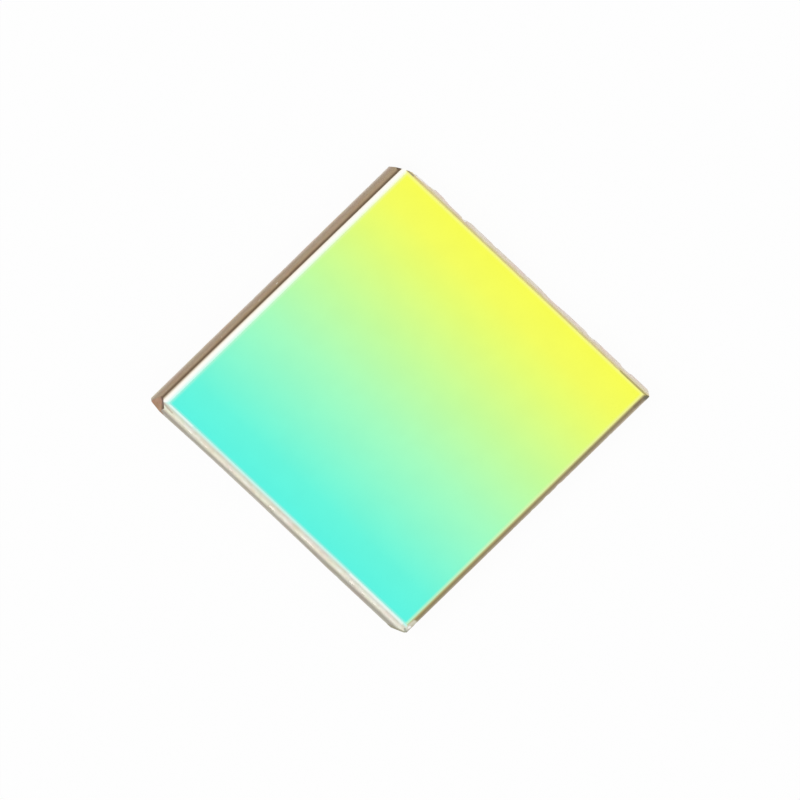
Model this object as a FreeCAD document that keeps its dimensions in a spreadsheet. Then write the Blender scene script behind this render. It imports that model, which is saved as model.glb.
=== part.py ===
"""Dichroic mirror: a square plate of optical glass with one coated face.

Millimetres. The plate lies on its bare back face, coated face up, with the
origin at the middle of the back face. Left and right are -X and +X, near and
far are -Y and +Y. The colour of the coating changes along Y.
"""
import FreeCAD, Part
import os
import sys
import Sketcher

# Driving sizes of the plate
SIZES = [
    # The glass blank, and the dub on its upright corners
    ("plate_length", 25.0),
    ("plate_width", 25.0),
    ("plate_thickness", 2.0),
    ("corner_dub", 0.1),
    # Protective bevels, ground by hand at 45 degrees: the leg of each
    ("front_bevel_left", 0.25),
    ("front_bevel_near", 0.5),
    ("front_bevel_right", 0.3),
    ("front_bevel_far", 0.09),
    ("back_bevel", 0.2),
    # The coated rectangle: its step, and the bare rim between it and each bevel
    ("coating_step", 0.01),
    ("rim_left", 0.5),
    ("rim_near", 0.54),
    ("rim_right", 0.21),
    ("rim_far", 0.05),
    # The near right corner, worn off over its full height
    ("worn_reach_length", 1.0),
    ("worn_reach_width", 0.58),
    # The near left corner, knocked off at the front: its facet runs out down the corner
    ("knock_reach_length", 1.35),
    ("knock_reach_width", 1.15),
    ("knock_run", 1.2),
    # The far left corner, flaked off from the back; its facet would run out above the plate
    ("flake_reach_length", 2.3),
    ("flake_reach_width", 1.15),
    ("flake_run", 3.0),
]

# Shell chips: label, place along the plate, half length, depth.
# The far ones are on the back arris of the wall, the near ones at the inner arris of the bevel.
FAR_CHIPS = [
    ("far_chip_a", -6.6, 0.95, 0.15),
    ("far_chip_b", -3.0, 0.45, 0.06),
    ("far_chip_c", 2.8, 1.10, 0.07),
    ("far_chip_d", 10.1, 0.60, 0.09),
]
NEAR_CHIPS = [
    ("near_chip_a", -2.0, 0.30, 0.10),
    ("near_chip_b", 2.4, 0.24, 0.09),
    ("near_chip_c", 6.1, 0.20, 0.09),
    ("near_chip_d", 7.3, 0.22, 0.10),
]

# Half sizes, as expressions on the sheet
HALF_LENGTH = "sizes.plate_length / 2"
HALF_WIDTH = "sizes.plate_width / 2"

doc = FreeCAD.newDocument("dichroic_mirror")


def make_sheet():
    """Put every driving size in the spreadsheet, one alias each."""
    table = doc.addObject("Spreadsheet::Sheet", "sizes")
    rows = list(SIZES)
    for label, place, half_length, depth in FAR_CHIPS + NEAR_CHIPS:
        rows += [(label + "_place", place), (label + "_reach", half_length), (label + "_depth", depth)]
    for row, (alias, value) in enumerate(rows, start=1):
        table.set("A%d" % row, alias)
        table.set("B%d" % row, str(value))
        table.setAlias("B%d" % row, alias)
    doc.recompute()
    return table


sheet = make_sheet()
body = doc.addObject("PartDesign::Body", "mirror_plate")
body.Label = "mirror_plate"
body.Placement = FreeCAD.Placement()


def evaluate(expression):
    """Work an expression on the sheet out now."""
    return float(sheet.evalExpression(expression))


def origin_plane(role):
    """Return one of the body's own origin planes."""
    for feature in body.Origin.OriginFeatures:
        if feature.Role == role:
            return feature
    raise RuntimeError("no origin plane " + role)


def polygon_sketch(name, plane, corners, height="0"):
    """Draw a closed outline on an origin plane; each corner is a pair of expressions."""
    sketch = body.newObject("Sketcher::SketchObject", name)
    sketch.AttachmentSupport = [(origin_plane(plane), "")]
    sketch.MapMode = "FlatFace"
    sketch.setExpression(".AttachmentOffset.Base.z", height)
    start = [(evaluate(x), evaluate(y)) for x, y in corners]
    count = len(corners)
    for index in range(count):
        here = FreeCAD.Vector(*start[index], 0)
        there = FreeCAD.Vector(*start[(index + 1) % count], 0)
        sketch.addGeometry(Part.LineSegment(here, there), False)
    for index in range(count):
        sketch.addConstraint(Sketcher.Constraint("Coincident", index, 2, (index + 1) % count, 1))
    for index, (x, y) in enumerate(corners):
        for axis, kind, text in ((0, "DistanceX", x), (1, "DistanceY", y)):
            place = sketch.addConstraint(Sketcher.Constraint(kind, -1, 1, index, 1, start[index][axis]))
            sketch.setExpression("Constraints[%d]" % place, text)
    return sketch


def blank():
    """The square blank, sawn and ground on its side walls."""
    outline = polygon_sketch("blank_outline", "XY_Plane", [
        ("-" + HALF_LENGTH, "-" + HALF_WIDTH),
        (HALF_LENGTH, "-" + HALF_WIDTH),
        (HALF_LENGTH, HALF_WIDTH),
        ("-" + HALF_LENGTH, HALF_WIDTH),
    ])
    pad = body.newObject("PartDesign::Pad", "blank")
    pad.Profile = outline
    pad.setExpression("Length", "sizes.plate_thickness")
    doc.recompute()
    return pad


def dub_corners(base):
    """Take the sharpness off the three upright corners that are whole."""
    corners = [(sign_x * evaluate(HALF_LENGTH), sign_y * evaluate(HALF_WIDTH))
               for sign_x, sign_y in ((-1, -1), (-1, 1), (1, 1))]
    edges = []
    for index, edge in enumerate(base.Shape.Edges, start=1):
        foot = edge.Vertexes[0].Point
        upright = edge.BoundBox.ZLength > evaluate("sizes.plate_thickness") / 2
        if upright and any(abs(foot.x - x) + abs(foot.y - y) < 1e-6 for x, y in corners):
            edges.append("Edge%d" % index)
    dubs = body.newObject("PartDesign::Chamfer", "corner_dubs")
    dubs.Base = (base, edges)
    dubs.setExpression("Size", "sizes.corner_dub")


def side_bevel(name, plane, side, half, leg, run, back):
    """Grind one straight bevel: a pass along a whole side, at its front or back arris.

    The cut is a right triangle that reaches past the glass on both outer sides,
    so that only its long edge meets the plate.
    """
    level = "0" if back else "sizes.plate_thickness"
    outwards = "-" if back else "+"
    inwards = "+" if back else "-"
    outline = polygon_sketch(name + "_outline", plane, [
        ("%s(%s - 2 * %s)" % (side, half, leg), "%s %s %s" % (level, outwards, leg)),
        ("%s(%s + %s)" % (side, half, leg), "%s %s 2 * %s" % (level, inwards, leg)),
        ("%s(%s + %s)" % (side, half, leg), "%s %s %s" % (level, outwards, leg)),
    ])
    pocket = body.newObject("PartDesign::Pocket", name)
    pocket.Profile = outline
    pocket.SideType = "Symmetric"
    pocket.setExpression("Length", "2 * %s" % run)


def corner_cut(name, side_x, side_y, reach_x, reach_y, back=False, run=None):
    """Cut a corner off along a facet that crosses both side walls.

    The facet stands upright, or leans outwards from the front face (or from the
    back face) and would run out on the line of the corner after the given height.
    """
    corner_x = "%s(%s)" % (side_x, HALF_LENGTH)
    corner_y = "%s(%s)" % (side_y, HALF_WIDTH)
    inner_x = "%s(%s - %s)" % (side_x, HALF_LENGTH, reach_x)
    inner_y = "%s(%s - %s)" % (side_y, HALF_WIDTH, reach_y)
    outer_x = "%s(%s + %s + %s)" % (side_x, HALF_LENGTH, reach_x, reach_y)
    outer_y = "%s(%s + %s + %s)" % (side_y, HALF_WIDTH, reach_x, reach_y)
    outline = polygon_sketch(name + "_outline", "XY_Plane", [
        (inner_x, corner_y),
        (corner_x, inner_y),
        (outer_x, inner_y),
        (outer_x, outer_y),
        (inner_x, outer_y),
    ], "0" if back else "sizes.plate_thickness")
    pocket = body.newObject("PartDesign::Pocket", name)
    pocket.Profile = outline
    pocket.Reversed = back
    pocket.setExpression("Length", "sizes.plate_thickness")
    if run:
        # The facet's distance from the corner, used up over the height of its run
        standoff = "%s * %s / sqrt(%s ^ 2 + %s ^ 2)" % (reach_x, reach_y, reach_x, reach_y)
        pocket.setExpression("TaperAngle", "-atan(%s / %s)" % (standoff, run))
        pocket.setExpression("Length", "min(sizes.plate_thickness; %s)" % run)


def coating():
    """The coated rectangle, raised by the thickness of its layers."""
    left = "-(%s - sizes.front_bevel_left - sizes.rim_left)" % HALF_LENGTH
    right = "%s - sizes.front_bevel_right - sizes.rim_right" % HALF_LENGTH
    near = "-(%s - sizes.front_bevel_near - sizes.rim_near)" % HALF_WIDTH
    far = "%s - sizes.front_bevel_far - sizes.rim_far" % HALF_WIDTH
    outline = polygon_sketch("coating_outline", "XY_Plane",
                             [(left, near), (right, near), (right, far), (left, far)],
                             "sizes.plate_thickness")
    pad = body.newObject("PartDesign::Pad", "coating")
    pad.Profile = outline
    pad.setExpression("Length", "sizes.coating_step")


def shell_chip(label, arris_y, arris_z):
    """Scoop a shallow shell out of an arris, longer than it is deep."""
    chip = body.newObject("PartDesign::SubtractiveEllipsoid", label)
    chip.AttachmentSupport = [(origin_plane("XY_Plane"), "")]
    chip.MapMode = "FlatFace"
    chip.setExpression(".AttachmentOffset.Base.x", "sizes.%s_place" % label)
    chip.setExpression(".AttachmentOffset.Base.y", arris_y)
    chip.setExpression(".AttachmentOffset.Base.z", arris_z)
    chip.setExpression("Radius1", "sizes.%s_depth" % label)
    chip.setExpression("Radius2", "sizes.%s_reach" % label)
    chip.setExpression("Radius3", "sizes.%s_depth" % label)


def volume_after(name, before, grows=False):
    """Rebuild, check that the step changed the glass the right way, and say by how much."""
    doc.recompute()
    after = body.Shape.Volume
    if (after > before) != grows or after == before:
        raise RuntimeError(name + " changed nothing")
    print("%-20s %.4f mm3, change %+.4f" % (name, after, after - before))
    return after


base = blank()
volume = body.Shape.Volume
dub_corners(base)
volume = volume_after("corner_dubs", volume)
corner_cut("worn_corner", "", "-", "sizes.worn_reach_length", "sizes.worn_reach_width")
volume = volume_after("worn_corner", volume)

# Sides of the plate: name, plane across it, sign, half size, length of a grinding pass
SIDES = [
    ("left", "XZ_Plane", "-", HALF_LENGTH, "sizes.plate_width"),
    ("near", "YZ_Plane", "-", HALF_WIDTH, "sizes.plate_length"),
    ("right", "XZ_Plane", "", HALF_LENGTH, "sizes.plate_width"),
    ("far", "YZ_Plane", "", HALF_WIDTH, "sizes.plate_length"),
]
for name, plane, side, half, run in SIDES:
    side_bevel("front_bevel_" + name, plane, side, half, "sizes.front_bevel_" + name, run, False)
    volume = volume_after("front_bevel_" + name, volume)
    side_bevel("back_bevel_" + name, plane, side, half, "sizes.back_bevel", run, True)
    volume = volume_after("back_bevel_" + name, volume)

coating()
volume = volume_after("coating", volume, grows=True)
corner_cut("knocked_corner", "-", "-", "sizes.knock_reach_length", "sizes.knock_reach_width",
           run="sizes.knock_run")
volume = volume_after("knocked_corner", volume)
corner_cut("flaked_corner", "-", "", "sizes.flake_reach_length", "sizes.flake_reach_width",
           back=True, run="sizes.flake_run")
volume = volume_after("flaked_corner", volume)
for label, place, half_length, depth in FAR_CHIPS:
    shell_chip(label, HALF_WIDTH, "sizes.back_bevel")
    volume = volume_after(label, volume)
for label, place, half_length, depth in NEAR_CHIPS:
    shell_chip(label, "-(%s - sizes.front_bevel_near)" % HALF_WIDTH, "sizes.plate_thickness")
    volume = volume_after(label, volume)

for item in doc.Objects:
    if "Invalid" in item.State or "Error" in item.State:
        sys.exit("failed: " + item.Label)
shape = body.Shape
if shape.isNull() or not shape.isValid() or len(shape.Solids) != 1:
    sys.exit("the plate is not one valid solid")
print("one solid, %d faces, %.2f mm3" % (len(shape.Faces), shape.Volume))

os.makedirs("parts", exist_ok=True)
shape.exportStep(os.path.join("parts", body.Label + ".step"))
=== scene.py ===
# %% [markdown]
# A dichroic mirror plate: one square of optical glass, coated on one face.
# The construction comes packed as a fixed frame, in metres, with the plate lying on its bare
# back face. This lesson gives it its looks: worn and chipped edges as real geometry, and one
# procedural finish for each kind of surface that the glass has. The construction is kept,
# hidden, and its box gives the sizes of the plate. The box of the construction is kept,
# because the finished plate has to stay inside it.

# %% Load the frame
import math
import random

import bmesh
import bpy
from mathutils import Matrix, Vector, kdtree, noise


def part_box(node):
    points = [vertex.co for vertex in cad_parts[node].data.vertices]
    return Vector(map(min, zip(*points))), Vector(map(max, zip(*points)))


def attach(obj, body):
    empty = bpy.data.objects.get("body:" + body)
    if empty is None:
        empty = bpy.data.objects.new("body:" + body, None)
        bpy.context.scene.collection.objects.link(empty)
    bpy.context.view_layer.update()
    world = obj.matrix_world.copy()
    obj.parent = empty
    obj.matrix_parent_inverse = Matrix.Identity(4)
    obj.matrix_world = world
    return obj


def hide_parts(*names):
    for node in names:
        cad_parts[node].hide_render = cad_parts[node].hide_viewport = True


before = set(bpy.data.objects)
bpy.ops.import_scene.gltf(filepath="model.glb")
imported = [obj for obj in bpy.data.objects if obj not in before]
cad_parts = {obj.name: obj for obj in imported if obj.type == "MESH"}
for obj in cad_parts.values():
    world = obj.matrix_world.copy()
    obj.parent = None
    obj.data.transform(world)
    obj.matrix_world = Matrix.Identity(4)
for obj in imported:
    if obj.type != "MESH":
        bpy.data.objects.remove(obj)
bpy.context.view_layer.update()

# %% [markdown]
# Every size comes from the box of the plate and a few driving dimensions. The four sides are
# named as they lie in the frame: left and right are -X and +X, near and far are -Y and +Y.
# A side has a ground bevel at the front, a rim of bare polished glass between that bevel and
# the coating, and a ground bevel at the back. A dictionary for each keeps them by name.

# %% Sizes of the plate
MM = 0.001
plate_low, plate_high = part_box("mirror_plate")
HALF = plate_high.x
COATING_STEP = 0.01 * MM
THICKNESS = plate_high.z - COATING_STEP
FRONT_BEVEL = {"left": 0.25 * MM, "near": 0.5 * MM, "right": 0.3 * MM, "far": 0.09 * MM}
RIM = {"left": 0.5 * MM, "near": 0.54 * MM, "right": 0.21 * MM, "far": 0.05 * MM}
BACK_BEVEL = 0.2 * MM
CORNER_DUB = 0.04 * MM
UP = Vector((0, 0, 1))
OUTWARD = {"left": Vector((-1, 0, 0)), "near": Vector((0, -1, 0)),
           "right": Vector((1, 0, 0)), "far": Vector((0, 1, 0))}
ALONG = {side: Vector((abs(out.y), abs(out.x), 0)) for side, out in OUTWARD.items()}
print("plate", round(2 * HALF / MM, 3), "mm square,", round(THICKNESS / MM, 3), "mm thick")

# %% [markdown]
# The real plate is sawn from a sheet and then ground, one flat at a time. The mesh is made the
# same way: a cube is the blank, and each flat is a bisect that throws the outer part away and
# closes the hole with one new face. A bevel operator could cut the edges too, but each flat
# here has its own width and lean, and a planar cut says exactly where it lies.
# Every face remembers its side and its finish, and every flat is noted for the wear later.

# %% The blank and the grinding cut
FINISHES = ["coating", "bare_rim", "ground_bevel", "ground_wall", "chip_with_painted_highlight", "knocked_corner",
            "bare_back"]
COATING, BARE_RIM, BEVEL, WALL, CHIP, KNOCKED, BACK = range(len(FINISHES))
SIDES = [*OUTWARD, "middle"]
SNAP = 1e-8
BLANK_SCALE = 4
bm = bmesh.new()
side_layer = bm.faces.layers.int.new("side")
flats = []


def grind(point, normal, side, finish):
    """Grind a flat: cut the outer part off along a plane and close the hole."""
    normal = Vector(normal).normalized()
    flats.append((normal, normal.dot(Vector(point))))
    cut = bmesh.ops.bisect_plane(bm, geom=bm.verts[:] + bm.edges[:] + bm.faces[:], dist=SNAP,
                                 plane_co=point, plane_no=normal, clear_outer=True)
    ring = [item for item in cut["geom_cut"] if isinstance(item, bmesh.types.BMEdge)]
    for face in bmesh.ops.contextual_create(bm, geom=ring)["faces"]:
        face.material_index = finish
        face[side_layer] = SIDES.index(side)


bmesh.ops.create_cube(bm, size=1)
bmesh.ops.scale(bm, vec=Vector((HALF, HALF, THICKNESS)) * BLANK_SCALE, verts=bm.verts)
grind((0, 0, THICKNESS), UP, "middle", BARE_RIM)
grind((0, 0, 0), -UP, "middle", BACK)
for side in OUTWARD:
    grind(OUTWARD[side] * HALF, OUTWARD[side], side, WALL)
print("blank:", len(bm.faces), "faces,", round(bm.calc_volume() / MM ** 3, 1), "mm3")

# %% [markdown]
# Three upright corners are dubbed, which means that a small flat takes their sharpness off.
# The fourth, near right, is worn off further. Then the bevels go on, front and back, at 45
# degrees. On the left and the right the plate was held a little askew for the front bevel,
# which is wider at its far end.

# %% Corners and bevels
WORN_LENGTH = 1.0 * MM
WORN_WIDTH = 0.58 * MM
ASKEW = {"left": 0.0062, "near": 0.0, "right": 0.006, "far": 0.0}
for x, y in ((-1, -1), (-1, 1), (1, 1)):
    grind((x * HALF, y * (HALF - CORNER_DUB), 0), (x, y, 0), "near" if y < 0 else "far", WALL)
grind((HALF - WORN_LENGTH, -HALF, 0), (WORN_WIDTH, -WORN_LENGTH, 0), "near", WALL)
for side, out in OUTWARD.items():
    grind(out * (HALF - FRONT_BEVEL[side]) + UP * THICKNESS,
          out + UP + ALONG[side] * ASKEW[side], side, BEVEL)
    grind(out * (HALF - BACK_BEVEL), out - UP, side, WALL)
print("bevelled:", len(bm.faces), "faces")

# %% [markdown]
# Two corners are damaged. The near left one was knocked off at the front: its facet crosses
# both walls and runs out part of the way down the corner. The far left one was flaked off
# from the back, in a facet so steep that it reaches the front too. A plane through three
# points gives each: one on either wall, and the one on the corner's line where it runs out.

# %% Knocked and flaked corners
KNOCK_LENGTH = 1.35 * MM
KNOCK_WIDTH = 1.15 * MM
KNOCK_RUN = 1.2 * MM
FLAKE_LENGTH = 2.3 * MM
FLAKE_WIDTH = 1.15 * MM
FLAKE_RUN = 3.0 * MM


def corner_facet(x, y, length, width, struck, ending):
    """A point of a facet and its outward normal, from the height that was struck to its end."""
    first = Vector((x * (HALF - length), y * HALF, struck))
    second = Vector((x * HALF, y * (HALF - width), struck))
    corner = Vector((x * HALF, y * HALF, ending))
    normal = (second - first).cross(corner - first).normalized()
    if normal.dot(Vector((x, y, 0))) < 0:
        normal.negate()
    return first, normal


knock = corner_facet(-1, -1, KNOCK_LENGTH, KNOCK_WIDTH, THICKNESS, THICKNESS - KNOCK_RUN)
flake = corner_facet(-1, 1, FLAKE_LENGTH, FLAKE_WIDTH, 0, FLAKE_RUN)
grind(*knock, "near", KNOCKED)
grind(*flake, "far", KNOCKED)
print("glass before wear:", round(bm.calc_volume() / MM ** 3, 1), "mm3")

# %% [markdown]
# The coating was grown in a jig whose frame masked the edge of the glass, so it ends in a
# straight line all round. The glass sat in the frame with a little play, so three of the
# lines aren't quite parallel to the glass. Only the top face is scored, along the four lines
# of that mask, and what lies between them is extruded by the thickness of the layers.

# %% The coated rectangle
def score(faces, point, normal):
    """Cut only these faces along a plane, and keep both parts."""
    faces = set(faces)
    edges = {edge for face in faces for edge in face.edges}
    corners = {vert for face in faces for vert in face.verts}
    bmesh.ops.bisect_plane(bm, geom=[*corners, *edges, *faces], dist=SNAP,
                           plane_co=point, plane_no=normal)


def faces_of(finish, *sides):
    """The faces that have a finish and lie on one of the sides."""
    numbers = [SIDES.index(side) for side in sides]
    return [face for face in bm.faces
            if face.material_index == finish and face[side_layer] in numbers]


def share_out(finish, inner):
    """Give the faces outside a rectangle to the side that they lie along."""
    for face in faces_of(finish, "middle"):
        centre = face.calc_center_median()
        beyond = [side for side in ("near", "far", "left", "right")
                  if centre.dot(OUTWARD[side]) > inner[side]]
        if beyond:
            face[side_layer] = SIDES.index(beyond[0])


TURNED = {"left": 0.0018, "near": 0.0, "right": 0.0035, "far": -0.0015}
mask = {side: HALF - FRONT_BEVEL[side] - RIM[side] for side in OUTWARD}
across_mask = {side: out + ALONG[side] * TURNED[side] for side, out in OUTWARD.items()}
for side, out in OUTWARD.items():
    score(faces_of(BARE_RIM, "middle"), out * mask[side], across_mask[side])
share_out(BARE_RIM, mask)
[coated] = faces_of(BARE_RIM, "middle")
outline = coated.edges[:]
bmesh.ops.delete(bm, geom=[coated], context="FACES_ONLY")
step = bmesh.ops.extrude_edge_only(bm, edges=outline)["geom"]
lifted = [item for item in step if isinstance(item, bmesh.types.BMEdge)
          and not set(item.verts) & {vert for edge in outline for vert in edge.verts}]
bmesh.ops.translate(bm, vec=UP * COATING_STEP,
                    verts=[item for item in step if isinstance(item, bmesh.types.BMVert)])
step += bmesh.ops.contextual_create(bm, geom=lifted)["faces"]
for face in step:
    if isinstance(face, bmesh.types.BMFace):
        face.material_index = COATING
        face[side_layer] = SIDES.index("middle")
print("coated faces:", len(faces_of(COATING, "middle")), "area",
      round(sum(face.calc_area() for face in faces_of(COATING, "middle")) / MM ** 2, 1), "mm2")

# %% [markdown]
# The back face gets a scored margin too, so that wear can shape its arris and leave the
# middle flat. Then all bands round the plate are scored into a fine mesh. A subdivision
# would split the flat middle too, but planar cuts stay in the bands. The first are columns,
# which run across every band at an even pitch.

# %% Columns across the bands
PITCH = 0.06 * MM
BACK_MARGIN = 0.22 * MM
BANDS = [BARE_RIM, BEVEL, WALL, KNOCKED, BACK]
margin = {side: HALF - BACK_BEVEL - BACK_MARGIN for side in OUTWARD}
for side, out in OUTWARD.items():
    score(faces_of(BACK, "middle"), out * margin[side], out)
share_out(BACK, margin)
for pair in (("near", "far"), ("left", "right")):
    direction = ALONG[pair[0]]
    place = -HALF
    for column in range(1, round(2 * HALF / PITCH)):
        ahead = [face for finish in BANDS for face in faces_of(finish, *pair)
                 if face.calc_center_bounds().dot(direction) > place]
        place = column * PITCH - HALF
        score(ahead, direction * place, direction)
print("with columns:", len(bm.faces), "faces")

# %% [markdown]
# Rows run along the bands. They lie close together at the arrises, where the wear and the
# chips are, and wide apart between them, which saves many faces. The two damaged corners get
# level rows at an even pitch, because their shells bend everywhere. A back bevel has the
# finish of its wall, and is told from it by its normal, which leans down.

# %% Rows along the bands
FIRST_ROW = 0.012 * MM
GROWTH = 1.7
KNOCK_ROW = 0.07 * MM
LEANS_DOWN = -0.3
ANY_LEAN = 1.1


def graded(length):
    """Places across a band, close together at both of its edges."""
    places = [length / 2]
    step = FIRST_ROW
    reached = FIRST_ROW
    while reached < (length - FIRST_ROW) / 2:
        places += [reached, length - reached]
        step *= GROWTH
        reached += step
    return places


def score_rows(finish, side, places, origin, direction, low=-ANY_LEAN, high=ANY_LEAN):
    """Score the faces whose normals lean up by an amount from low to high, row by row."""
    for place in places:
        faces = [face for face in faces_of(finish, side) if low < face.normal.z < high]
        score(faces, origin + direction * place, direction)


for side, out in OUTWARD.items():
    bevel = FRONT_BEVEL[side]
    front = UP * THICKNESS
    score_rows(BARE_RIM, side, graded(RIM[side]), out * (HALF - bevel), -out)
    score_rows(BEVEL, side, graded(bevel), front, -UP)
    score_rows(WALL, side, graded(THICKNESS - bevel - BACK_BEVEL), UP * BACK_BEVEL, UP,
               low=LEANS_DOWN)
    score_rows(WALL, side, graded(BACK_BEVEL), Vector(), UP, high=LEANS_DOWN)
    score_rows(BACK, side, graded(BACK_MARGIN), out * (HALF - BACK_BEVEL), -out)
knock_rows = [row * KNOCK_ROW for row in range(1, int(THICKNESS / KNOCK_ROW))]
for side in ("near", "far"):
    score_rows(KNOCKED, side, knock_rows, Vector(), UP)
print("with rows:", len(bm.faces), "faces,", len(bm.verts), "vertices")

# %% [markdown]
# Nothing on a handled plate is as sharp as a planar cut. An arris is rounded a little all
# along, and dotted with nicks. The bevel operator would round it alike everywhere, so each
# vertex is moved by a formula instead. The flats are weighed by how near they are to it:
# on a flat only one counts and the vertex stays, on an arris two count alike and draw it in,
# and in a corner three do. Noise along the arris sets how far that reaches. One stretch of
# the near front arris was rubbed down by handling, which bows the outline there.

# %% Wear on the arrises
WEAR = 0.009 * MM
NICK_DEPTH = 0.1 * MM
NICK_LENGTH = 0.45 * MM
NICK_THRESHOLD = 0.3
PATCH_LENGTH = 6 * MM
PATCH_SHARE = 0.5
FAR_OFF = 9
RUB = 0.15 * MM
RUB_PLACE = -3 * MM
RUB_LENGTH = 8 * MM
RUB_REACH = 0.5 * MM
RUBBED_ARRIS = Vector((0, -HALF, THICKNESS - FRONT_BEVEL["near"]))


def wear_radius(point):
    """How widely an arris is rounded at a point: a little everywhere, more in nicks."""
    patch = PATCH_SHARE * noise.noise(point / PATCH_LENGTH)
    nick = noise.noise(point / NICK_LENGTH) + patch / 2 - NICK_THRESHOLD
    along = (point.x - RUB_PLACE) / RUB_LENGTH
    across = (point - RUBBED_ARRIS).yz.length / RUB_REACH
    rub = RUB * max(0, 1 - along ** 2) * max(0, 1 - across ** 2)
    return WEAR * (1 + patch) + NICK_DEPTH * max(0, nick) + rub


def worn_in(point, radius):
    """Where a point of the surface lies once its arris is rounded."""
    total = 0.0
    pull = Vector()
    for normal, level in flats:
        depth = level - normal.dot(point)
        if depth < FAR_OFF * radius:
            weight = math.exp(-depth / radius)
            total += weight
            pull += normal * weight
    return point - pull * (radius * math.log(total) * total / pull.length_squared)


drawn_in = 0.0
for vert in bm.verts:
    if all(face.material_index != COATING for face in vert.link_faces):
        worn = worn_in(vert.co, wear_radius(vert.co))
        drawn_in = max(drawn_in, (worn - vert.co).length)
        vert.co = worn
print("deepest nick:", round(drawn_in / MM, 3), "mm")

# %% [markdown]
# Glass doesn't break flat. It breaks in a shell, a shallow hollow with faint ripples round
# the point that was struck. The two damaged corners get that shape: each vertex of the facet
# sinks along the facet's normal, less towards its outline, so that the outline stays put.

# %% Shells in the damaged corners
HOLLOW = 0.07 * MM
RIPPLE = 0.006 * MM
RIPPLE_PITCH = 0.21 * MM
SHELL_EDGE = 0.35 * MM
SAME_PLANE = 0.999
ON_FACET = 10 * SNAP


def hollow_out(facet, struck):
    """Sink the inside of a broken facet, with ripples round the point that was struck."""
    point, normal = facet
    others = [flat for flat in flats if flat[0].dot(normal) < SAME_PLANE]
    for vert in {vert for face in faces_of(KNOCKED, "near", "far") for vert in face.verts}:
        if abs(normal.dot(vert.co - point)) > ON_FACET:
            continue
        room = min(level - other.dot(vert.co) for other, level in others)
        share = min(1, max(0, room / SHELL_EDGE))
        ring = math.sin((vert.co - struck).length / RIPPLE_PITCH * math.tau)
        vert.co -= normal * (share ** 2 * (3 - 2 * share) * (HOLLOW + RIPPLE * ring))


hollow_out(knock, Vector((-HALF + KNOCK_LENGTH / 2, -HALF + KNOCK_WIDTH / 2, THICKNESS)))
hollow_out(flake, Vector((-HALF + FLAKE_LENGTH / 2, HALF - FLAKE_WIDTH / 2, 0)))
print("after the shells:", round(bm.calc_volume() / MM ** 3, 2), "mm3")

# %% [markdown]
# Chips are smaller shells, struck out of an arris. Each is an ellipsoid with its middle on
# the arris, or just outside it for a shallow one, and the vertices inside it are pushed to
# its far side. Those that show most are listed. The nibbles between them are drawn
# from a seeded generator, so that each run gives the same plate. A k-d tree finds the
# vertices near each chip quickly. On the far wall the chips came off from the back, as
# thin flakes that run high up the wall. They are pushed straight in. All lengths here are in
# millimetres: the place along the side, the reach along it, the depth, and a flake's height.

# %% Chips along the arrises
RAGGED = 0.3
RAGGED_LENGTH = 0.09 * MM
FLAKE_RAGGED = 0.12
FLAKE_RAGGED_LENGTH = 0.36 * MM
PALE_ABOVE = 0.1
SEED = 25
NIBBLE_REACH = 11.4
NIBBLE_ASPECT = (1.6, 3.2)
NIBBLE_LIFT = (0.1, 0.5)
CHIPS = [(-1.0, 0.36, 0.14), (2.6, 0.80, 0.08), (7.0, 0.28, 0.13), (8.15, 0.22, 0.10),
         (-9.2, 0.26, 0.08), (-7.6, 0.16, 0.08), (-5.1, 0.22, 0.07), (9.3, 0.18, 0.08)]
NIBBLES = [("near", "front_inner", 22, 0.03, 0.07), ("near", "front_outer", 14, 0.03, 0.06),
           ("near", "back_outer", 14, 0.04, 0.09), ("left", "front_outer", 22, 0.025, 0.05),
           ("left", "back_outer", 16, 0.03, 0.08), ("left", "front_inner", 6, 0.02, 0.035),
           ("right", "front_outer", 18, 0.025, 0.05), ("right", "back_outer", 14, 0.03, 0.08),
           ("far", "front_outer", 12, 0.02, 0.04), ("far", "back_outer", 20, 0.03, 0.08)]
FLAKES = [(-11.1, 2.3, 0.20, 1.30), (-6.75, 1.4, 0.14, 0.80), (-6.05, 0.34, 0.26, 1.40),
          (-2.97, 0.4, 0.07, 0.40), (2.85, 1.3, 0.09, 0.48), (6.65, 0.45, 0.10, 0.55),
          (10.2, 0.6, 0.11, 0.6)]
bm.verts.ensure_lookup_table()
finder = kdtree.KDTree(len(bm.verts))
for index, vert in enumerate(bm.verts):
    finder.insert(vert.co, index)
    vert.tag = False
finder.balance()


def arris(side, kind):
    """The middle of an arris, and the mean outward direction of its two flats."""
    out = OUTWARD[side]
    bevel = FRONT_BEVEL[side]
    front = (out + UP).normalized()
    back = (out - UP).normalized()
    inset, height, upper, lower = {"front_inner": (bevel, THICKNESS, UP, front),
                                   "front_outer": (0, THICKNESS - bevel, front, out),
                                   "back_outer": (0, BACK_BEVEL, out, back)}[kind]
    return out * (HALF - inset) + UP * height, (upper + lower).normalized()


def strike(side, kind, place, reach, depth, lift=0.0):
    """Push the surface out of an ellipsoid whose middle is on an arris, or lifted off it."""
    foot, outward = arris(side, kind)
    centre = foot + (ALONG[side] * place + outward * lift) * MM
    for _, index, _ in finder.find_range(centre, reach * MM):
        vert = bm.verts[index]
        offset = (vert.co - centre) / MM
        along = offset.dot(ALONG[side])
        across = offset - ALONG[side] * along
        rough = depth * (1 + RAGGED * noise.noise(vert.co / RAGGED_LENGTH))
        bowl = rough ** 2 * (1 - (along / reach) ** 2)
        if across.length_squared < bowl:
            lean = across.dot(outward)
            vert.co -= outward * (lean + math.sqrt(lean ** 2 - across.length_squared + bowl)) * MM
            vert.tag = True


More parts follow.
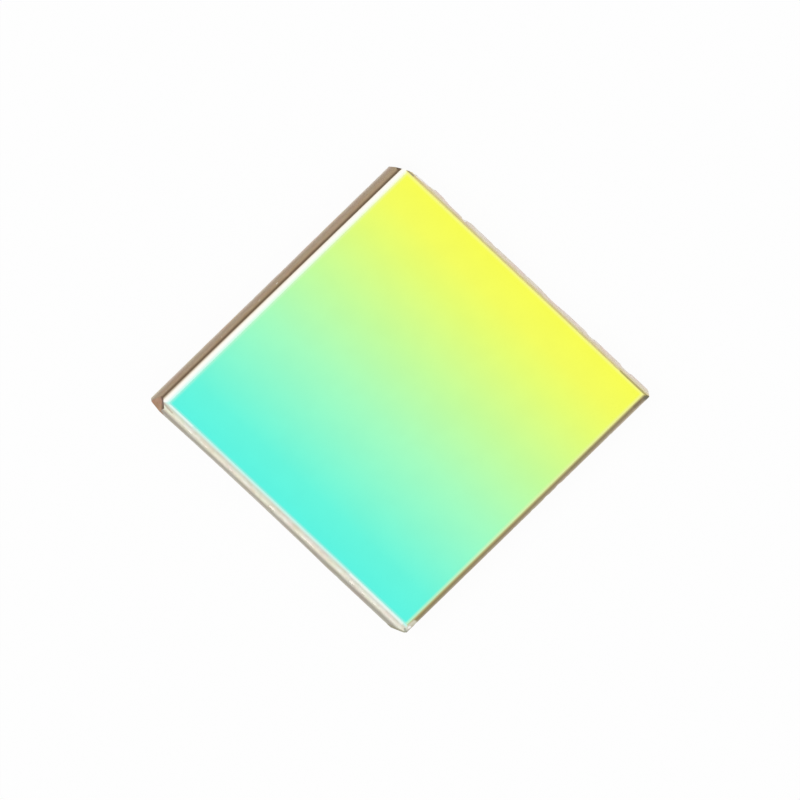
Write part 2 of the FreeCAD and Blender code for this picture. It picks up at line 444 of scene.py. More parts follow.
def flake_off(place, reach, depth, height):
    """Push the far wall in out of an ellipsoid whose middle is on the back edge."""
    centre = OUTWARD["far"] * HALF + ALONG["far"] * place * MM
    for _, index, _ in finder.find_range(centre, max(reach, height) * MM):
        vert = bm.verts[index]
        offset = (vert.co - centre) / MM
        rough = 1 + FLAKE_RAGGED * noise.noise(vert.co / FLAKE_RAGGED_LENGTH)
        room = rough - (offset.x / reach) ** 2 - (offset.z / height) ** 2
        if room > 0 and -offset.y < depth * math.sqrt(room):
            vert.co.y = centre.y - depth * math.sqrt(room) * MM
            vert.tag = offset.z > PALE_ABOVE * height


for flaked in FLAKES:
    flake_off(*flaked)
for chip in CHIPS:
    strike("near", "front_inner", *chip)
draws = random.Random(SEED)
for side, kind, count, smallest, largest in NIBBLES:
    for nibble in range(count):
        depth = draws.uniform(smallest, largest)
        strike(side, kind, draws.uniform(-NIBBLE_REACH, NIBBLE_REACH),
               depth * draws.uniform(*NIBBLE_ASPECT), depth,
               lift=depth * draws.uniform(*NIBBLE_LIFT))
# Chipped faces, and the upper parts of the flakes, get the chip finish, whose colour is a painted
# highlight.
chipped = [face for face in bm.faces if all(vert.tag for vert in face.verts)
           and face.material_index != COATING]
for face in chipped:
    face.material_index = CHIP
print("chipped faces:", len(chipped), "volume", round(bm.calc_volume() / MM ** 3, 2), "mm3")

# %% [markdown]
# The mesh is closed, so its normals can be recalculated to point outwards. Everything is
# shaded smooth except where two faces meet at a clear angle: the rims of chips, the outline
# of a shell and the step of the coating stay crisp, and the rounded arrises catch the light.

# %% The finished piece
CRISP = math.radians(40)
bmesh.ops.recalc_face_normals(bm, faces=bm.faces)
for face in bm.faces:
    face.smooth = True
for edge in bm.edges:
    edge.smooth = edge.calc_face_angle() < CRISP
print("open edges:", sum(len(edge.link_faces) != 2 for edge in bm.edges),
      "triangles:", sum(len(face.verts) - 2 for face in bm.faces))
mesh = bpy.data.meshes.new("glass_plate")
bm.to_mesh(mesh)
bm.free()
plate = bpy.data.objects.new("glass_plate", mesh)
bpy.context.scene.collection.objects.link(plate)
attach(plate, "root")
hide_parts("mirror_plate")

# %% [markdown]
# The finishes come next. Each is a material of its own, with the shader in it. What several
# of them share, such as the place on the plate, the grain of a ground surface or the colour
# of the coating, is a node group: built once, with named sockets, and placed where needed.
# Small helpers keep the node code short: they add a node, do arithmetic, mix colours, and make
# a ramp, a noise or a group. Colours are written as they show on a screen and turned to
# linear light.

# %% Helpers for nodes
def tint(red, green, blue):
    """A screen colour from 0 to 255, as the linear colour that a shader takes."""
    shares = (red / 255, green / 255, blue / 255)
    return (*(((share + 0.055) / 1.055) ** 2.4 for share in shares), 1.0)


def add(tree, kind, inputs=None, **settings):
    """Add a node, set its properties, and link or set its inputs."""
    made = tree.nodes.new("ShaderNode" + kind)
    for name, value in settings.items():
        setattr(made, name, value)
    for name, value in (inputs or {}).items():
        if isinstance(value, bpy.types.NodeSocket):
            tree.links.new(value, made.inputs[name])
        else:
            made.inputs[name].default_value = value
    return made


def maths(tree, operation, *values):
    """The result of a Math node."""
    return add(tree, "Math", dict(enumerate(values)), operation=operation).outputs[0]


def mixed(tree, share, first, second, blend="MIX"):
    """Two colours mixed by a share."""
    return add(tree, "Mix", {0: share, 6: first, 7: second}, data_type="RGBA",
               blend_type=blend).outputs[2]


def spread(tree, value, low, high, first=0.0, second=1.0):
    """A value eased from first to second as it goes from low to high."""
    return add(tree, "MapRange", {"Value": value, "From Min": low, "From Max": high,
                                  "To Min": first, "To Max": second},
               interpolation_type="SMOOTHSTEP").outputs["Result"]


def share_of(tree, value, start, end):
    """How far a value has gone from start to end, kept between 0 and 1."""
    return add(tree, "MapRange", {"Value": value, "From Min": start, "From Max": end}).outputs[0]


def ramp(tree, share, stops):
    """A colour ramp through stops: a place from 0 to 1, then the three parts of a colour."""
    made = add(tree, "ValToRGB", {"Fac": share})
    line = made.color_ramp.elements
    for index, (place, *colour) in enumerate(stops):
        element = line[index] if index < len(line) else line.new(place)
        element.position = place
        element.color = tint(*colour)
    return made.outputs["Color"]


def vectors(tree, operation, inputs, output=0):
    """The result of a Vector Math node; a length or a dot product is output 1."""
    return add(tree, "VectorMath", inputs, operation=operation).outputs[output]


def millimetres(tree):
    """The point that is shaded, in millimetres from the middle of the back face."""
    coords = add(tree, "TexCoord").outputs["Object"]
    return vectors(tree, "SCALE", {0: coords, "Scale": 1 / MM})


def cloud(tree, where, scale, detail, **more):
    """The value of a noise texture at a place."""
    return add(tree, "TexNoise", {"Vector": where, "Scale": scale, "Detail": detail,
                                  **more}).outputs["Fac"]


def new_group(name, inputs, outputs):
    """An empty node group with named sockets, and the sockets of its input."""
    tree = bpy.data.node_groups.new(name, "ShaderNodeTree")
    for in_out, sockets in (("INPUT", inputs), ("OUTPUT", outputs)):
        for label, kind in sockets.items():
            tree.interface.new_socket(label, in_out=in_out, socket_type="NodeSocket" + kind)
    tree.nodes.new("NodeGroupOutput").name = "results"
    return tree, tree.nodes.new("NodeGroupInput").outputs


def give(tree, results):
    """Link results to the output sockets of a group."""
    for label, value in results.items():
        tree.links.new(value, tree.nodes["results"].inputs[label])


def use(tree, group, inputs=None):
    """Place a node group in a tree."""
    return add(tree, "Group", inputs, node_tree=group)


print("helpers ready")

# %% [markdown]
# The first group says where on the plate a point lies. It works in millimetres from Object
# coordinates: four masks for the sides, the height, the place across the bands of colour,
# and a frame that runs along whichever side the point is on. Patterns drawn in that frame
# can be stretched along the side, as the marks of grinding are, and don't repeat on the next.

# %% Node group: the place on the plate
HALF_MM = HALF / MM
THICKNESS_MM = THICKNESS / MM
SIDE_SHIFT = {"left": 0.0, "near": 60.0, "right": 120.0, "far": 180.0}
SIDE_SOCKETS = {side.capitalize(): "Float" for side in OUTWARD}

tree, _ = new_group(
    "place_on_plate", {}, {**SIDE_SOCKETS, "Height": "Float", "Across": "Float", "Frame": "Vector"})
east, north, height = add(tree, "SeparateXYZ", {0: millimetres(tree)}).outputs
far_x = maths(tree, "ABSOLUTE", east)
far_y = maths(tree, "ABSOLUTE", north)
by_x = maths(tree, "GREATER_THAN", far_x, far_y)
by_y = maths(tree, "SUBTRACT", 1.0, by_x)
run = maths(tree, "MULTIPLY_ADD", by_y, east, maths(tree, "MULTIPLY", by_x, north))
quarters = [("left", by_x, east, "LESS_THAN"), ("right", by_x, east, "GREATER_THAN"),
            ("near", by_y, north, "LESS_THAN"), ("far", by_y, north, "GREATER_THAN")]
for side, chosen, value, comparison in quarters:
    on_side = maths(tree, "MULTIPLY", chosen, maths(tree, comparison, value, 0.0))
    give(tree, {side.capitalize(): on_side})
    run = maths(tree, "MULTIPLY_ADD", on_side, SIDE_SHIFT[side], run)
inset = maths(tree, "SUBTRACT", HALF_MM, maths(tree, "MAXIMUM", far_x, far_y))
give(tree, {"Height": height, "Across": north,
            "Frame": add(tree, "CombineXYZ", {0: run, 1: inset, 2: height}).outputs[0]})
place_group = tree
print("place_on_plate:", len(tree.nodes), "nodes")

# %% [markdown]
# The coating is a stack of thin layers, thinner towards one side of the jig. The light that
# it throws back shifts with the thickness, from cyan on the near side, through green, to
# yellow on the far side, in bands that lie exactly along X. So its colour is a ramp along
# one axis. The bare back shows it through the glass, and the rim takes a glow from it, so
# the ramp is a group too.

# %% Node group: the colour of the coating
COATING_STOPS = [(0.0, 93, 246, 227), (0.1, 105, 247, 221), (0.2, 130, 250, 212),
                 (0.4, 168, 254, 191), (0.6, 199, 254, 156), (0.8, 231, 255, 117),
                 (0.9, 245, 255, 98), (1.0, 250, 255, 84)]

tree, _ = new_group("coating_colour", {}, {"Color": "Color"})
north = use(tree, place_group).outputs["Across"]
share = share_of(tree, north, -mask["near"] / MM, mask["far"] / MM)
give(tree, {"Color": ramp(tree, share, COATING_STOPS)})
colour_group = tree
print("coating_colour:", len(COATING_STOPS), "stops")

# %% [markdown]
# Round the coated rectangle everything is measured from its edges. This group gives how far a
# point lies beyond each edge, in millimetres and below 0 on the coating, and which side it
# belongs to on the rim and the front bevel. In the corners a mitre divides the sides. It
# starts in the corner of the coating, and its slope comes from the pull of the two sides.

# %% Node group: distances from the edges of the coating
PULL = {"left": 1.0, "near": 1.4, "right": 0.14, "far": 5.3}
beyond_labels = {side: side.capitalize() + " Beyond" for side in OUTWARD}

tree, _ = new_group(
    "round_the_coating", {}, {**SIDE_SOCKETS, **dict.fromkeys(beyond_labels.values(), "Float")})
point = millimetres(tree)
pulled = {}
for side, out in across_mask.items():
    reached = vectors(tree, "DOT_PRODUCT", {0: point, 1: out}, 1)
    beyond = maths(tree, "SUBTRACT", reached, mask[side] / MM)
    give(tree, {beyond_labels[side]: beyond})
    pulled[side] = maths(tree, "MULTIPLY", beyond, PULL[side])
for side in OUTWARD:
    first, second, third = [pulled[other] for other in OUTWARD if other != side]
    strongest = maths(tree, "MAXIMUM", first, maths(tree, "MAXIMUM", second, third))
    give(tree, {side.capitalize(): maths(tree, "GREATER_THAN", pulled[side], strongest)})
margin_group = tree
print("round_the_coating:", len(tree.nodes), "nodes")

# %% [markdown]
# Every corner of the plate has something of its own: a smear of compound, a dull patch, a
# painted white highlight where the glass is broken. Two pale lines of painted highlight also run
# beside the near edge of the coating, and painted olive shade lies along the right bevel. Each
# mark is a stroke between two points, in millimetres, with a width, a colour and a strength. It
# fades from its core to its full width. The group lays all of them over a colour.

# %% Node group: marks, painted shade and painted highlights in the corners
STROKE_CORE = 0.3
# Marks of compound, painted white highlights and painted olive shade, as strokes.
MARK_SHADE_AND_HIGHLIGHT_STROKES = [((-12.15, -11.74), (-11.1, -11.84), 0.09, (156, 130, 108), 0.45),
           ((-11.72, -12.42), (-11.42, -12.5), 0.16, (150, 116, 90), 0.9),
           ((-11.6, -11.55), (-9.4, -11.55), 0.1, (246, 255, 252), 0.45),
           ((6.5, -11.6), (11.7, -11.62), 0.13, (246, 255, 250), 0.55),
           ((-12.05, 12.44), (-11.9, 12.42), 0.12, (255, 255, 240), 0.9),
           ((-12.36, 12.05), (-12.28, 12.25), 0.13, (72, 54, 38), 0.8),
           ((-12.0, 12.46), (-11.2, 12.48), 0.09, (140, 134, 110), 0.85),
           ((9.6, 12.45), (12.5, 12.45), 0.11, (148, 136, 72), 0.6),
           ((12.26, 5.0), (12.26, 11.4), 0.24, (118, 112, 52), 0.28),
           ((12.2, 11.3), (12.3, 12.3), 0.24, (112, 98, 56), 0.6),
           ((12.35, 12.3), (12.5, 12.5), 0.34, (92, 90, 62), 0.9),
           ((11.2, -12.5), (12.45, -11.93), 0.17, (146, 142, 116), 0.8),
           ((12.25, -11.5), (12.3, -10.95), 0.24, (216, 214, 194), 0.9),
           ((12.15, -11.78), (12.3, -11.85), 0.12, (160, 166, 148), 0.9),
           ((12.33, -11.5), (12.33, -11.44), 0.14, (255, 255, 255), 1.0)]

tree, given = new_group("corner_marks_shade_and_highlights", {"Color": "Color"}, {"Color": "Color"})
flat = vectors(tree, "MULTIPLY", {0: millimetres(tree), 1: (1, 1, 0)})
marked_shaded_and_lit = given["Color"]
for start, end, width, stroke_tint, strength in MARK_SHADE_AND_HIGHLIGHT_STROKES:
    origin = Vector((*start, 0))
    length = (Vector((*end, 0)) - origin).length
    direction = (Vector((*end, 0)) - origin) / length
    offset = vectors(tree, "SUBTRACT", {0: flat, 1: origin})
    run = vectors(tree, "DOT_PRODUCT", {0: offset, 1: direction}, 1)
    run = maths(tree, "MINIMUM", maths(tree, "MAXIMUM", run, 0.0), length)
    foot = vectors(tree, "SCALE", {0: direction, "Scale": run})
    distance = vectors(tree, "DISTANCE", {0: offset, 1: foot}, 1)
    amount = spread(tree, distance, STROKE_CORE * width, width, strength, 0.0)
    marked_shaded_and_lit = mixed(tree, amount, marked_shaded_and_lit, tint(*stroke_tint))
give(tree, {"Color": marked_shaded_and_lit})
marks_shade_and_highlights_group = tree
print("corner_marks_shade_and_highlights:", len(MARK_SHADE_AND_HIGHLIGHT_STROKES), "strokes")

# %% [markdown]
# A ground surface is covered with fine pits, and its grinding has left faint lines along the
# side. The grain group makes both: pits are fine noise, lines are noise stretched along the
# frame. It gives a height for the Bump node and a tone that speckles the colour.

# %% Node group: the grain of ground glass
PIT_SCALE = 14.0
LINE_SCALE = (0.35, 11.0, 11.0)

tree, given = new_group("ground_grain", {"Pits": "Float", "Lines": "Float"},
                        {"Height": "Float", "Tone": "Float"})
where = use(tree, place_group).outputs["Frame"]
stretched = add(tree, "Mapping", {"Vector": where, "Scale": LINE_SCALE}).outputs[0]
pits = cloud(tree, where, PIT_SCALE, 3.0, Roughness=0.65)
lines = cloud(tree, stretched, 1.0, 2.0)
level = maths(tree, "MULTIPLY", pits, given["Pits"])
level = maths(tree, "MULTIPLY_ADD", lines, given["Lines"], level)
total = maths(tree, "ADD", given["Pits"], given["Lines"])
give(tree, {"Height": level, "Tone": maths(tree, "DIVIDE", level, total)})
grain_group = tree
print("ground_grain:", len(tree.nodes), "nodes")

# %% [markdown]
# Polishing compound stays behind in ground glass and stains it in patches, some pinkish and
# some olive. Most are a few millimetres long, and smaller ones lie among them. The stain
# group takes a clean colour and gives the stained one, with the speckle of the grain in it.
# It multiplies, so it suits any colour. Each stain is a shift of the noise, so that no two
# lie alike, a fineness and a tint.

# %% Node group: stains of polishing compound
STAINS = [(0.0, 1.0, (255, 240, 240)), (31.0, 1.0, (250, 252, 232)),
          (47.0, 3.2, (248, 234, 233)), (71.0, 3.6, (240, 245, 234))]
STAIN_STRETCH = Vector((0.55, 1.3, 1.3))
STAIN_FROM = 0.44
STAIN_FULL = 0.62

tree, given = new_group(
    "compound_stain", {"Color": "Color", "Patches": "Float", "Tone": "Float", "Speckle": "Float"},
    {"Color": "Color"})
where = use(tree, place_group).outputs["Frame"]
stained = given["Color"]
for shift, fineness, patch_tint in STAINS:
    moved = add(tree, "Mapping", {"Vector": where, "Location": (shift, shift, shift),
                                  "Scale": STAIN_STRETCH * fineness}).outputs[0]
    amount = spread(tree, cloud(tree, moved, 1.0, 2.5), STAIN_FROM, STAIN_FULL)
    amount = maths(tree, "MULTIPLY", amount, given["Patches"])
    stained = mixed(tree, amount, stained, tint(*patch_tint), blend="MULTIPLY")
centred = maths(tree, "SUBTRACT", given["Tone"], 0.5)
brightness = maths(tree, "MULTIPLY_ADD", centred, given["Speckle"], 1.0)
give(tree, {"Color": vectors(tree, "SCALE", {0: stained, "Scale": brightness})})
stain_group = tree
print("compound_stain:", len(tree.nodes), "nodes")

# %% [markdown]
# Across the rim and the front bevel the colours are painted light and shade, in bands that run
# along the side: painted light that comes up through the polished rim, the painted grey shadow
# of the bevel seen in it, a painted dark shadow line just below the rim on the left bevel, a
# painted grey band of shade on the near bevel, painted olive shade on the right, and painted
# yellow light from the coating on the far side. Each side has its own. On the rim a ramp runs
# from the edge of the coating, at 0, to the bevel, at 1. On the bevel it runs down from the rim,
# at 0, to the wall. Beside the coating the rim also has a painted glow in the coating's colour,
# as if it spread in the glass: GLOW has the width of that glow in millimetres and its strength.

# %% Node group: painted light and shade across the rim and bevel
# Painted light and shade across the rim, then across the front bevel, for each side.
RIM_LIGHT_AND_SHADE_STOPS = {
    "left": [(0.0, 245, 255, 252), (0.3, 251, 254, 252), (0.65, 255, 253, 246),
             (0.8, 253, 248, 237), (0.92, 228, 219, 202), (1.0, 188, 173, 152)],
    "near": [(0.0, 227, 252, 246), (0.14, 220, 244, 236), (0.27, 214, 231, 220),
             (0.41, 210, 221, 209), (0.55, 218, 221, 209), (0.68, 228, 228, 216),
             (0.82, 238, 237, 225), (1.0, 235, 234, 220)],
    "right": [(0.0, 215, 211, 149), (0.3, 188, 178, 118), (0.6, 157, 144, 92),
              (1.0, 135, 121, 77)],
    "far": [(0.0, 246, 241, 142), (1.0, 232, 222, 138)]}
BEVEL_LIGHT_AND_SHADE_STOPS = {
    "left": [(0.0, 142, 124, 100), (0.1, 102, 82, 55), (0.28, 96, 76, 49), (0.45, 120, 99, 72),
             (0.62, 147, 125, 97), (0.8, 163, 141, 113), (1.0, 164, 142, 115)],
    "near": [(0.0, 232, 230, 215), (0.11, 214, 211, 196), (0.31, 180, 177, 163),
             (0.49, 159, 155, 142), (0.64, 158, 154, 141), (0.8, 173, 169, 157),
             (1.0, 192, 188, 177)],
    "right": [(0.0, 138, 124, 78), (0.35, 148, 133, 98), (0.7, 174, 159, 133),
              (1.0, 200, 188, 168)],
    "far": [(0.0, 226, 216, 138), (0.5, 212, 201, 130), (1.0, 216, 205, 142)]}
GLOW = {"left": (0.28, 0.44), "near": (0.2, 0.45), "right": (0.1, 0.3), "far": (0.05, 0.3)}


def side_ramps(tree, stops, shares, where):
    """A ramp for each side, mixed by the masks of the sides."""
    result = None
    for side, side_stops in stops.items():
        line = ramp(tree, shares[side], side_stops)
        mask_socket = where.outputs[side.capitalize()]
        result = line if result is None else mixed(tree, mask_socket, result, line)
    return result


tree, _ = new_group("edge_light_and_shade", {}, {"Rim": "Color", "Bevel": "Color"})
height = use(tree, place_group).outputs["Height"]
around = use(tree, margin_group)
beyond = {side: around.outputs[beyond_labels[side]] for side in OUTWARD}
across_rim = {side: share_of(tree, beyond[side], 0.0, RIM[side] / MM) for side in OUTWARD}
down_bevel = {side: share_of(tree, height, THICKNESS_MM, THICKNESS_MM - FRONT_BEVEL[side] / MM)
              for side in OUTWARD}
rim_light_and_shade = side_ramps(tree, RIM_LIGHT_AND_SHADE_STOPS, across_rim, around)
glow = 0.0
for side, (width, strength) in GLOW.items():
    fading = spread(tree, beyond[side], 0.0, width, strength, 0.0)
    glow = maths(tree, "MULTIPLY_ADD", fading, around.outputs[side.capitalize()], glow)
rim_light_and_shade = mixed(tree, glow, rim_light_and_shade, use(tree, colour_group).outputs["Color"])
bevel_light_and_shade = side_ramps(tree, BEVEL_LIGHT_AND_SHADE_STOPS, down_bevel, around)
for label, painted_band in (("Rim", rim_light_and_shade), ("Bevel", bevel_light_and_shade)):
    give(tree, {label: use(tree, marks_shade_and_highlights_group, {"Color": painted_band}).outputs["Color"]})
edge_light_and_shade_group = tree
print("edge_light_and_shade:", len(tree.nodes), "nodes")

# %% [markdown]
# The walls change colour with height and from side to side, in painted light and shade. The
# left one is in painted brown shade, paler towards the back bevel. The far and near walls are
# painted pale, as lit, the far one with painted yellow light from the coating above it. The right
# one is in a milder painted brown shade.

# %% Node group: painted light and shade of the walls
# Painted light and shade of each wall, by height.
WALL_LIGHT_AND_SHADE_STOPS = {
    "left": [(0.0, 216, 207, 196), (0.1, 213, 203, 191), (0.17, 203, 192, 179),
             (0.26, 190, 176, 161), (0.36, 172, 156, 137), (0.48, 161, 143, 120),
             (0.62, 160, 139, 112), (0.875, 163, 142, 114)],
    "near": [(0.0, 216, 211, 198), (0.3, 204, 198, 183), (0.6, 190, 184, 168),
             (0.75, 182, 177, 162)],
    "right": [(0.0, 200, 188, 168), (0.3, 188, 173, 149), (0.7, 178, 162, 136),
              (0.85, 180, 166, 144)],
    "far": [(0.0, 242, 235, 230), (0.2, 240, 232, 226), (0.44, 238, 229, 219),
            (0.63, 235, 225, 206), (0.83, 229, 219, 180), (0.955, 221, 210, 150)]}

tree, _ = new_group("wall_light_and_shade", {}, {"Color": "Color"})
where = use(tree, place_group)
share = maths(tree, "DIVIDE", where.outputs["Height"], THICKNESS_MM)
give(tree, {"Color": side_ramps(tree, WALL_LIGHT_AND_SHADE_STOPS, dict.fromkeys(OUTWARD, share), where)})
wall_light_and_shade_group = tree
print("wall_light_and_shade:", sum(len(stops) for stops in WALL_LIGHT_AND_SHADE_STOPS.values()), "stops")

# %% [markdown]
# Now the materials. A helper makes one with its Principled shader, gives it a slot on the
# plate, and takes plain values as they are. The slots come in the order of the finishes,
# because each face already holds the number of its own. Under the edge of the mask the
# layers of the coating thin out, so it fades to a pale line there: HALOS has its width in
# millimetres, its strength and its colour. A faint mottle and a wiped smear lie over it all.

# %% Materials: the helper and the coating
def new_material(name, **values):
    """A material with a Principled shader; plain values go straight on its sockets."""
    material = bpy.data.materials.new(name)
    material.use_nodes = True
    tree = material.node_tree
    shader = tree.nodes["Principled BSDF"]
    for label, value in values.items():
        shader.inputs[label.replace("_", " ")].default_value = value
    plate.data.materials.append(material)
    return tree, shader


MOTTLE_SCALE = 420.0
MOTTLE_DARKEST = 0.985
SMEAR_SCALE = 160.0
SMEAR_FROM = 0.045
SMEAR_TO = 0.085
HALOS = {"left": (0.24, 0.28, (240, 246, 232)), "near": (0.18, 0.34, (216, 234, 226)),
         "right": (0.27, 0.55, (242, 238, 180)), "far": (0.26, 0.35, (255, 248, 190))}

tree, shader = new_material(FINISHES[COATING], Metallic=1.0)
colour = use(tree, colour_group).outputs["Color"]
around = use(tree, margin_group)
for side, (width, strength, pale) in HALOS.items():
    halo = spread(tree, around.outputs[beyond_labels[side]], -width, 0.0, 0.0, strength)
    colour = mixed(tree, halo, colour, tint(*pale))
# The corner marks, with their painted highlights and painted shade, lie over the coating too.
colour = use(tree, marks_shade_and_highlights_group, {"Color": colour}).outputs["Color"]
object_place = add(tree, "TexCoord").outputs["Object"]
mottle = cloud(tree, object_place, MOTTLE_SCALE, 2.0)
brightness = spread(tree, mottle, 0.3, 0.7, MOTTLE_DARKEST, 1.0)
colour = vectors(tree, "SCALE", {0: colour, "Scale": brightness})
tree.links.new(colour, shader.inputs["Base Color"])
smear = cloud(tree, object_place, SMEAR_SCALE, 4.0, Distortion=0.8)
tree.links.new(spread(tree, smear, 0.35, 0.7, SMEAR_FROM, SMEAR_TO), shader.inputs["Roughness"])
print(FINISHES[COATING], len(tree.nodes), "nodes")

# %% [markdown]
# The rim is bare polished glass, and the bevel beside it is ground. Both show the painted
# light and shade of the edge.
# The rim is smooth and shiny, with a trace of haze, and stained on its near side. The bevel
# is rough, with the grain in its colour and in a Bump node. The walls are ground coarser.

# %% Materials: rim, bevel and wall
GLASS_IOR = 1.52
RELIEF = 0.02 * MM
RIM_PATCHES = 0.05
NEAR_PATCHES = 0.45
NEAR_STAIN = (0.14, 0.26)


def grained(tree, shader, colour, pits, lines, patches, speckle, bump):
    """Give a ground surface its stain, its speckle and its relief."""
    grain = use(tree, grain_group, {"Pits": pits, "Lines": lines})
    stained = use(tree, stain_group, {"Color": colour, "Patches": patches, "Speckle": speckle,
                                      "Tone": grain.outputs["Tone"]})
    tree.links.new(stained.outputs["Color"], shader.inputs["Base Color"])
    relief = add(tree, "Bump", {"Height": grain.outputs["Height"], "Distance": RELIEF,
                                "Strength": bump})
    tree.links.new(relief.outputs["Normal"], shader.inputs["Normal"])
    print(len(tree.nodes), "nodes, pits", pits, "lines", lines, "speckle", speckle)


tree, shader = new_material(FINISHES[BARE_RIM], Roughness=0.12, IOR=GLASS_IOR)
around = use(tree, margin_group)
beyond = around.outputs[beyond_labels["near"]]
stained_part = spread(tree, beyond, *NEAR_STAIN, 0.0, NEAR_PATCHES)
patches = maths(tree, "MULTIPLY_ADD", around.outputs["Near"], stained_part, RIM_PATCHES)
# The rim and the bevel take their painted light and shade, with stains and grain over it.
grained(tree, shader, use(tree, edge_light_and_shade_group).outputs["Rim"],
        pits=0.2, lines=1.0, patches=patches, speckle=0.05, bump=0.05)

tree, shader = new_material(FINISHES[BEVEL], Roughness=0.42, IOR=GLASS_IOR)
grained(tree, shader, use(tree, edge_light_and_shade_group).outputs["Bevel"],
        pits=1.0, lines=0.8, patches=0.4, speckle=0.3, bump=0.5)

tree, shader = new_material(FINISHES[WALL], Roughness=0.62, IOR=1.5)
# The wall's colour is painted light and shade; stains and grain lie over it.
grained(tree, shader, use(tree, wall_light_and_shade_group).outputs["Color"],
        pits=1.0, lines=0.5, patches=0.7, speckle=0.35, bump=0.8)

# %% [markdown]
# A fresh chip is a clean break, smooth and shiny. Its colour is a painted highlight: the wall's
# colour mixed far towards white, and nearly pure white on the near side. The knocked corner broke
# long ago; it is still smooth, so it keeps a soft gloss. Its colour is painted brown shade like
# the left wall's, with a painted dark shadow line along its upper rim, and stains over it. The
# bare back shows the coating through the glass: the same colours, duller, under the clear
# polished surface.

# %% Materials: breaks and back
# Painted brown shade of the knocked corner, with a painted dark shadow line at the top.
KNOCK_SHADE_STOPS = [(0.0, 150, 126, 100), (0.3, 164, 128, 100), (0.84, 166, 128, 99),
               (0.92, 104, 76, 50), (1.0, 82, 58, 37)]
# The chip's painted highlight: its white, how much of it, and the near side's white.
CHIP_HIGHLIGHT = (255, 253, 246)
CHIP_HIGHLIGHT_SHARE = 0.65
NEAR_CHIP_HIGHLIGHT = (255, 252, 240)
GLASS_VEIL = (196, 206, 200)
VEIL_SHARE = 0.35

tree, shader = new_material(FINISHES[CHIP], Roughness=0.16, IOR=GLASS_IOR)
bright = mixed(tree, CHIP_HIGHLIGHT_SHARE, use(tree, wall_light_and_shade_group).outputs["Color"], tint(*CHIP_HIGHLIGHT))
bright = mixed(tree, use(tree, place_group).outputs["Near"], bright, tint(*NEAR_CHIP_HIGHLIGHT))
grained(tree, shader, bright, pits=0.4, lines=0.0, patches=0.2, speckle=0.08, bump=0.1)

tree, shader = new_material(FINISHES[KNOCKED], Roughness=0.3, IOR=GLASS_IOR)
height = use(tree, place_group).outputs["Height"]
share = maths(tree, "DIVIDE", height, THICKNESS_MM)
grained(tree, shader, ramp(tree, share, KNOCK_SHADE_STOPS),
        pits=1.0, lines=0.0, patches=1.0, speckle=0.3, bump=0.4)

tree, shader = new_material(FINISHES[BACK], Roughness=0.05, IOR=GLASS_IOR, Coat_Weight=1.0,
                            Coat_Roughness=0.03)
through = mixed(tree, VEIL_SHARE, use(tree, colour_group).outputs["Color"], tint(*GLASS_VEIL))
grained(tree, shader, through, pits=0.3, lines=0.2, patches=0.2, speckle=0.06, bump=0.02)

# %% [markdown]
# The stage is a pale floor. Everything that lights the plate sees it as plain white paper,
# and it keeps a soft contact shadow. The camera sees mostly a plain white, with only a part
# of that shadow, so the ground stays as clean as on a product page.

# %% Floor
FLOOR_SIZE = 1.5
FLOOR_DROP = 0.001 * MM
PAPER = (250, 250, 250)
SHADOW_SHARE = 0.05
BACKDROP = (254, 254, 254)

floor_mesh = bpy.data.meshes.new("floor")
bm = bmesh.new()
bmesh.ops.create_grid(bm, x_segments=1, y_segments=1, size=FLOOR_SIZE)
bmesh.ops.translate(bm, vec=-UP * FLOOR_DROP, verts=bm.verts)
bm.to_mesh(floor_mesh)
bm.free()
floor = bpy.data.objects.new("floor", floor_mesh)
bpy.context.scene.collection.objects.link(floor)
paper = bpy.data.materials.new("white_paper")
paper.use_nodes = True
tree = paper.node_tree
tree.nodes.clear()
matt = add(tree, "BsdfDiffuse", {"Color": tint(*PAPER)}).outputs[0]
plain = add(tree, "Emission", {"Color": tint(*BACKDROP), "Strength": 1.0}).outputs[0]
rays = add(tree, "LightPath").outputs
seen = maths(tree, "MAXIMUM", rays["Is Camera Ray"],
             maths(tree, "MAXIMUM", rays["Is Glossy Ray"], rays["Is Transmission Ray"]))
share = maths(tree, "MULTIPLY", seen, 1 - SHADOW_SHARE)
surface = add(tree, "MixShader", {0: share, 1: matt, 2: plain}).outputs[0]
tree.links.new(surface, add(tree, "OutputMaterial").inputs["Surface"])
floor_mesh.materials.append(paper)
print("floor", 2 * FLOOR_SIZE, "m square")

# %% [markdown]
# The light is a white room and one soft lamp. Together they give a level flat surface about
# the brightness of its own colour, so colours render as they are written. The coating is a
# mirror: it shows the room, so rays that come off it see the room at full white overhead and
# a little darker towards the horizon, which gives the plate its sheen from low down.

# %% Room and lamp
ROOM_LEVEL = 0.885
LAMP_LEVEL = 0.58
LAMP_SPREAD = math.radians(35)
LAMP_AZIMUTH = math.radians(205)
LAMP_HEIGHT = math.radians(48)
HORIZON = 0.8
HORIZON_REACH = 0.6

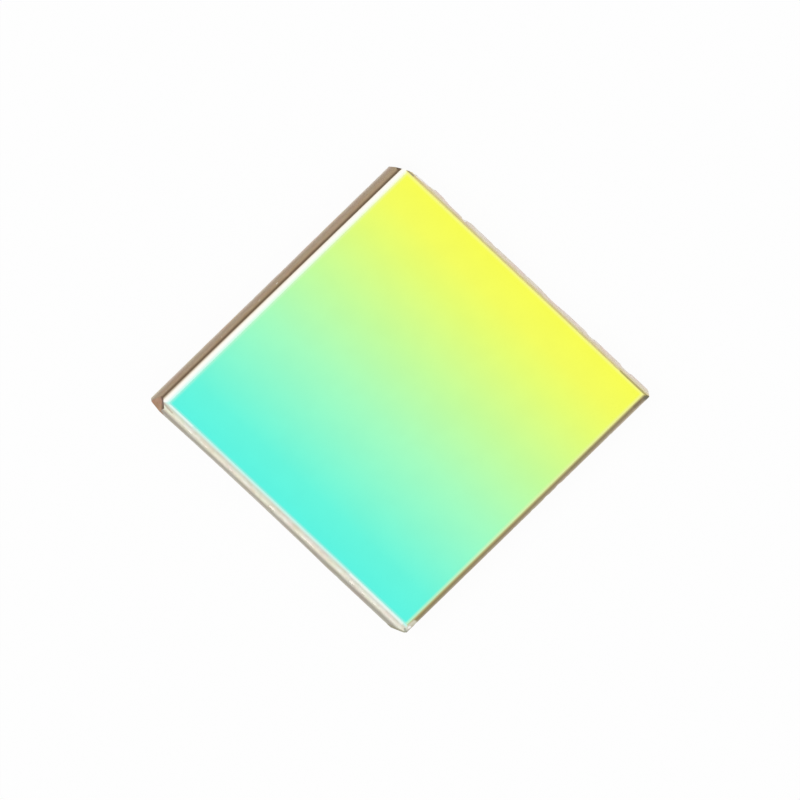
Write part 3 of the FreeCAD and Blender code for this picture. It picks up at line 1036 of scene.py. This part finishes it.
world = bpy.data.worlds.new("white_room")
world.use_nodes = True
bpy.context.scene.world = world
tree = world.node_tree
tree.nodes.clear()
rays = add(tree, "LightPath").outputs
sky = add(tree, "SeparateXYZ", {0: add(tree, "TexCoord").outputs["Generated"]}).outputs[2]
mirrored = maths(tree, "MAXIMUM", rays["Is Glossy Ray"], rays["Is Transmission Ray"])
strength = maths(tree, "ADD", ROOM_LEVEL,
                 maths(tree, "MULTIPLY", mirrored,
                       spread(tree, sky, 0.0, HORIZON_REACH, HORIZON - ROOM_LEVEL,
                              1 - ROOM_LEVEL)))
strength = maths(tree, "MAXIMUM", strength, rays["Is Camera Ray"])
room = add(tree, "Background", {"Color": tint(*BACKDROP), "Strength": strength}).outputs[0]
tree.links.new(room, add(tree, "OutputWorld").inputs["Surface"])

lamp_data = bpy.data.lights.new("soft_lamp", "SUN")
lamp_data.energy = LAMP_LEVEL
lamp_data.angle = LAMP_SPREAD
lamp = bpy.data.objects.new("soft_lamp", lamp_data)
lamp_from = Vector((math.cos(LAMP_AZIMUTH) * math.cos(LAMP_HEIGHT),
                    math.sin(LAMP_AZIMUTH) * math.cos(LAMP_HEIGHT), math.sin(LAMP_HEIGHT)))
lamp.rotation_mode = "QUATERNION"
lamp.rotation_quaternion = lamp_from.to_track_quat("Z", "Y")
lamp.visible_glossy = False
bpy.context.scene.collection.objects.link(lamp)
print("lamp from", [round(value, 2) for value in lamp_from])

# %% [markdown]
# The photograph looks down on the plate from far off, leaning 18 degrees towards the
# left and far sides, so those two walls show. The camera is set up from that lean, from the
# direction on the floor that is up in the picture, and from its distance. The plate sits a
# little off the middle of the picture, and the camera is moved across by as much.

# %% Camera
LENS = 1000
LEAN = math.radians(17.934)
LEAN_TOWARDS = math.radians(144.183)
PICTURE_UP = math.radians(134.979)
DISTANCE = 1575.3 * MM
MOVED_RIGHT = 0.0319 * MM
MOVED_DOWN = 0.4597 * MM

back = Vector((math.sin(LEAN) * math.cos(LEAN_TOWARDS), math.sin(LEAN) * math.sin(LEAN_TOWARDS),
               math.cos(LEAN)))
right = Vector((math.cos(PICTURE_UP), math.sin(PICTURE_UP), 0)).cross(back).normalized()
upwards = back.cross(right)
camera_data = bpy.data.cameras.new("camera")
camera_data.lens = LENS
camera_data.clip_start = DISTANCE / 10
camera_data.clip_end = 100.0
camera = bpy.data.objects.new("camera", camera_data)
turned = Matrix((right, upwards, back)).transposed().to_4x4()
camera.matrix_world = Matrix.Translation(back * DISTANCE + right * MOVED_RIGHT
                                         - upwards * MOVED_DOWN) @ turned
bpy.context.scene.collection.objects.link(camera)
bpy.context.scene.camera = camera
bpy.context.scene.view_settings.view_transform = "Standard"
print("camera at", [round(value, 4) for value in camera.matrix_world.translation])
